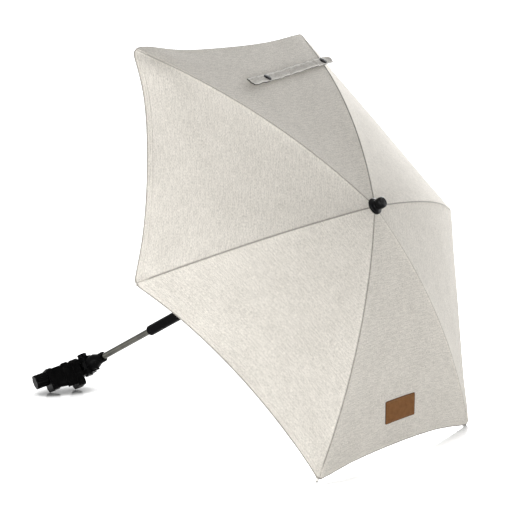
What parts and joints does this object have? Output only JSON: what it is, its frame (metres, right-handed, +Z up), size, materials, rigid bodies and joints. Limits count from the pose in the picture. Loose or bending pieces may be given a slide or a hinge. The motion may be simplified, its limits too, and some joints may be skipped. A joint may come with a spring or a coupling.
{
  "type": "pram parasol",
  "caption": "Small folding parasol with a scalloped panelled cloth canopy, ribs and stretchers, a tilting steel pole and a swivelling screw clamp for a pram's tube.",
  "frame": {"origin": "floor level under the middle of the lying parasol's box", "axes": "+Z up from the floor; the pole lies in the XZ plane and rises toward +X, where the canopy's top is; +Y across the canopy"},
  "size_m": [0.6014, 0.6836, 0.5189],
  "materials": {
    "canopy_cloth": "woven light greige",
    "strap_cloth": "woven light greige",
    "label_leather": "smooth tan",
    "rib_steel": "drawn wire",
    "pole_chrome": "dark polished",
    "plain_steel": "turned",
    "black_plastic": "satin",
    "tip_plastic": "pale, smooth",
    "gloss_black_plastic": "gloss",
    "clamp_plastic": "fine texture",
    "grip_rubber": "matt"
  },
  "bodies": {
    "lower_pole": {"lower_tube": "pole_chrome", "sleeve": "black_plastic", "socket": "clamp_plastic"},
    "upper_pole": {"upper_tube": "pole_chrome", "crown": "black_plastic", "crown_pins": "plain_steel", "cap_washer": "plain_steel", "top_cap": "gloss_black_plastic", "tilt_fork": "black_plastic", "tilt_pin": "plain_steel"},
    "tilt_button": {"tilt_button": "gloss_black_plastic"},
    "rib_body_1": {"rib_1": "rib_steel", "rib_tip_1": "tip_plastic", "rib_clip_1": "black_plastic", "canopy_panel_1": "canopy_cloth"},
    "rib_body_2": {"rib_2": "rib_steel", "rib_tip_2": "tip_plastic", "rib_clip_2": "black_plastic", "canopy_panel_2": "canopy_cloth", "label_patch": "label_leather"},
    "rib_body_3": {"rib_3": "rib_steel", "rib_tip_3": "tip_plastic", "rib_clip_3": "black_plastic", "canopy_panel_3": "canopy_cloth"},
    "rib_body_4": {"rib_4": "rib_steel", "rib_tip_4": "tip_plastic", "rib_clip_4": "black_plastic", "canopy_panel_4": "canopy_cloth", "tie_strap": "strap_cloth", "strap_snaps": "gloss_black_plastic"},
    "rib_body_5": {"rib_5": "rib_steel", "rib_tip_5": "tip_plastic", "rib_clip_5": "black_plastic", "canopy_panel_5": "canopy_cloth"},
    "rib_body_6": {"rib_6": "rib_steel", "rib_tip_6": "tip_plastic", "rib_clip_6": "black_plastic", "canopy_panel_6": "canopy_cloth"},
    "stretcher_body_1": {"stretcher_1": "rib_steel"},
    "stretcher_body_2": {"stretcher_2": "rib_steel"},
    "stretcher_body_3": {"stretcher_3": "rib_steel"},
    "stretcher_body_4": {"stretcher_4": "rib_steel"},
    "stretcher_body_5": {"stretcher_5": "rib_steel"},
    "stretcher_body_6": {"stretcher_6": "rib_steel"},
    "runner": {"runner": "black_plastic", "runner_pins": "plain_steel"},
    "runner_latch": {"runner_latch": "black_plastic"},
    "socket_button": {"socket_button": "clamp_plastic"},
    "clamp": {"clamp_frame": "clamp_plastic", "swivel_bolt": "plain_steel", "swivel_washer": "plain_steel", "jaw_pad_fixed": "grip_rubber"},
    "swivel_knob": {"swivel_knob": "clamp_plastic"},
    "jaw": {"moving_jaw": "clamp_plastic", "jaw_pad_moving": "grip_rubber"},
    "jaw_screw": {"jaw_screw": "plain_steel", "screw_knob": "clamp_plastic"}
  },
  "joints": [
    {"name": "tilt", "type": "hinge", "parent": "lower_pole", "child": "upper_pole", "pos_m": [-0.06514, 0, 0.14028], "axis": [0, -1, 0], "range_deg": [0, 90]},
    {"name": "tilt_button_press", "type": "slide", "parent": "upper_pole", "child": "tilt_button", "axis": [0, 1, 0], "range_m": [0, 0.001], "stiffness_N_per_m": 400},
    {"name": "canopy_fold", "type": "hinge", "parent": "upper_pole", "child": "rib_body_1", "pos_m": [0.25398, -0.00475, 0.30846], "axis": [0.2431, 0.866, -0.4369], "range_deg": [0, 68.76], "deforming": ["canopy_panel_1"]},
    {"name": "rib_hinge_2", "type": "hinge", "parent": "upper_pole", "child": "rib_body_2", "pos_m": [0.25398, 0.00475, 0.30846], "axis": [-0.2431, 0.866, 0.4369], "range_deg": [-0.05, 68.81], "deforming": ["canopy_panel_2"]},
    {"name": "rib_hinge_3", "type": "hinge", "parent": "upper_pole", "child": "rib_body_3", "pos_m": [0.24998, 0.0095, 0.31565], "axis": [-0.4863, 0, 0.8738], "range_deg": [-0.05, 68.81], "deforming": ["canopy_panel_3"]},
    {"name": "rib_hinge_4", "type": "hinge", "parent": "upper_pole", "child": "rib_body_4", "pos_m": [0.24598, 0.00475, 0.32284], "axis": [-0.2431, -0.866, 0.4369], "range_deg": [-0.05, 68.81], "deforming": ["canopy_panel_4"]},
    {"name": "rib_hinge_5", "type": "hinge", "parent": "upper_pole", "child": "rib_body_5", "pos_m": [0.24598, -0.00475, 0.32284], "axis": [0.2431, -0.866, -0.4369], "range_deg": [-0.05, 68.81], "deforming": ["canopy_panel_5"]},
    {"name": "rib_hinge_6", "type": "hinge", "parent": "upper_pole", "child": "rib_body_6", "pos_m": [0.24998, -0.0095, 0.31565], "axis": [0.4863, 0, -0.8738], "range_deg": [-0.05, 68.81], "deforming": ["canopy_panel_6"]},
    {"name": "stretcher_hinge_1", "type": "hinge", "parent": "rib_body_1", "child": "stretcher_body_1", "pos_m": [0.28669, -0.07669, 0.18406], "axis": [0.2431, 0.866, -0.4369], "range_deg": [-137.62, 0.1]},
    {"name": "stretcher_hinge_2", "type": "hinge", "parent": "rib_body_2", "child": "stretcher_body_2", "pos_m": [0.28669, 0.07669, 0.18406], "axis": [-0.2431, 0.866, 0.4369], "range_deg": [-137.62, 0.1]},
    {"name": "stretcher_hinge_3", "type": "hinge", "parent": "rib_body_3", "child": "stretcher_body_3", "pos_m": [0.22209, 0.15339, 0.30013], "axis": [-0.4863, 0, 0.8738], "range_deg": [-137.62, 0.1]},
    {"name": "stretcher_hinge_4", "type": "hinge", "parent": "rib_body_4", "child": "stretcher_body_4", "pos_m": [0.15749, 0.07669, 0.4162], "axis": [-0.2431, -0.866, 0.4369], "range_deg": [-137.62, 0.1]},
    {"name": "stretcher_hinge_5", "type": "hinge", "parent": "rib_body_5", "child": "stretcher_body_5", "pos_m": [0.15749, -0.07669, 0.4162], "axis": [0.2431, -0.866, -0.4369], "range_deg": [-137.62, 0.1]},
    {"name": "stretcher_hinge_6", "type": "hinge", "parent": "rib_body_6", "child": "stretcher_body_6", "pos_m": [0.22209, -0.15339, 0.30013], "axis": [0.4863, 0, -0.8738], "range_deg": [-137.62, 0.1]},
    {"name": "runner_pivot", "type": "hinge", "parent": "stretcher_body_1", "child": "runner", "pos_m": [0.1982, -0.00475, 0.27742], "axis": [0.2431, 0.866, -0.4369], "range_deg": [-0.05, 68.81]},
    {"name": "latch_press", "type": "hinge", "parent": "runner", "child": "runner_latch", "pos_m": [0.18629, 0, 0.27208], "axis": [0, 1, 0], "range_deg": [0, 5], "stiffness_Nm_per_rad": 0.05},
    {"name": "socket_button_press", "type": "slide", "parent": "lower_pole", "child": "socket_button", "axis": [-0.4863, 0, 0.8738], "range_m": [0, 0.002], "stiffness_N_per_m": 400},
    {"name": "clamp_swivel", "type": "hinge", "parent": "lower_pole", "child": "clamp", "pos_m": [-0.2565, 0, 0.03378], "axis": [0.4863, 0, -0.8738], "range_deg": [-28, 152]},
    {"name": "swivel_knob_turn", "type": "hinge", "parent": "clamp", "child": "swivel_knob", "pos_m": [-0.26331, 0, 0.04601], "axis": [0.4863, 0, -0.8738], "continuous": true},
    {"name": "jaw_screw_turn", "type": "hinge", "parent": "clamp", "child": "jaw_screw", "pos_m": [-0.28155, -0.05662, 0.0227], "axis": [-0.4102, -0.8829, -0.2283], "range_deg": [-1560, 288]},
    {"name": "jaw_slide", "type": "slide", "parent": "clamp", "child": "jaw", "axis": [-0.4102, -0.8829, -0.2283], "range_m": [-0.0131, 0.0025]}
  ],
  "couplings": [
    {"joint": "rib_hinge_2", "follows": "canopy_fold", "ratio": 1},
    {"joint": "rib_hinge_3", "follows": "canopy_fold", "ratio": 1},
    {"joint": "rib_hinge_4", "follows": "canopy_fold", "ratio": 1},
    {"joint": "rib_hinge_5", "follows": "canopy_fold", "ratio": 1},
    {"joint": "rib_hinge_6", "follows": "canopy_fold", "ratio": 1},
    {"joint": "stretcher_hinge_1", "follows": "canopy_fold", "ratio": -2},
    {"joint": "stretcher_hinge_2", "follows": "canopy_fold", "ratio": -2},
    {"joint": "stretcher_hinge_3", "follows": "canopy_fold", "ratio": -2},
    {"joint": "stretcher_hinge_4", "follows": "canopy_fold", "ratio": -2},
    {"joint": "stretcher_hinge_5", "follows": "canopy_fold", "ratio": -2},
    {"joint": "stretcher_hinge_6", "follows": "canopy_fold", "ratio": -2},
    {"joint": "runner_pivot", "follows": "canopy_fold", "ratio": 1},
    {"joint": "jaw_slide", "follows": "jaw_screw_turn", "m_per_rad": 0.00047746}
  ]
}
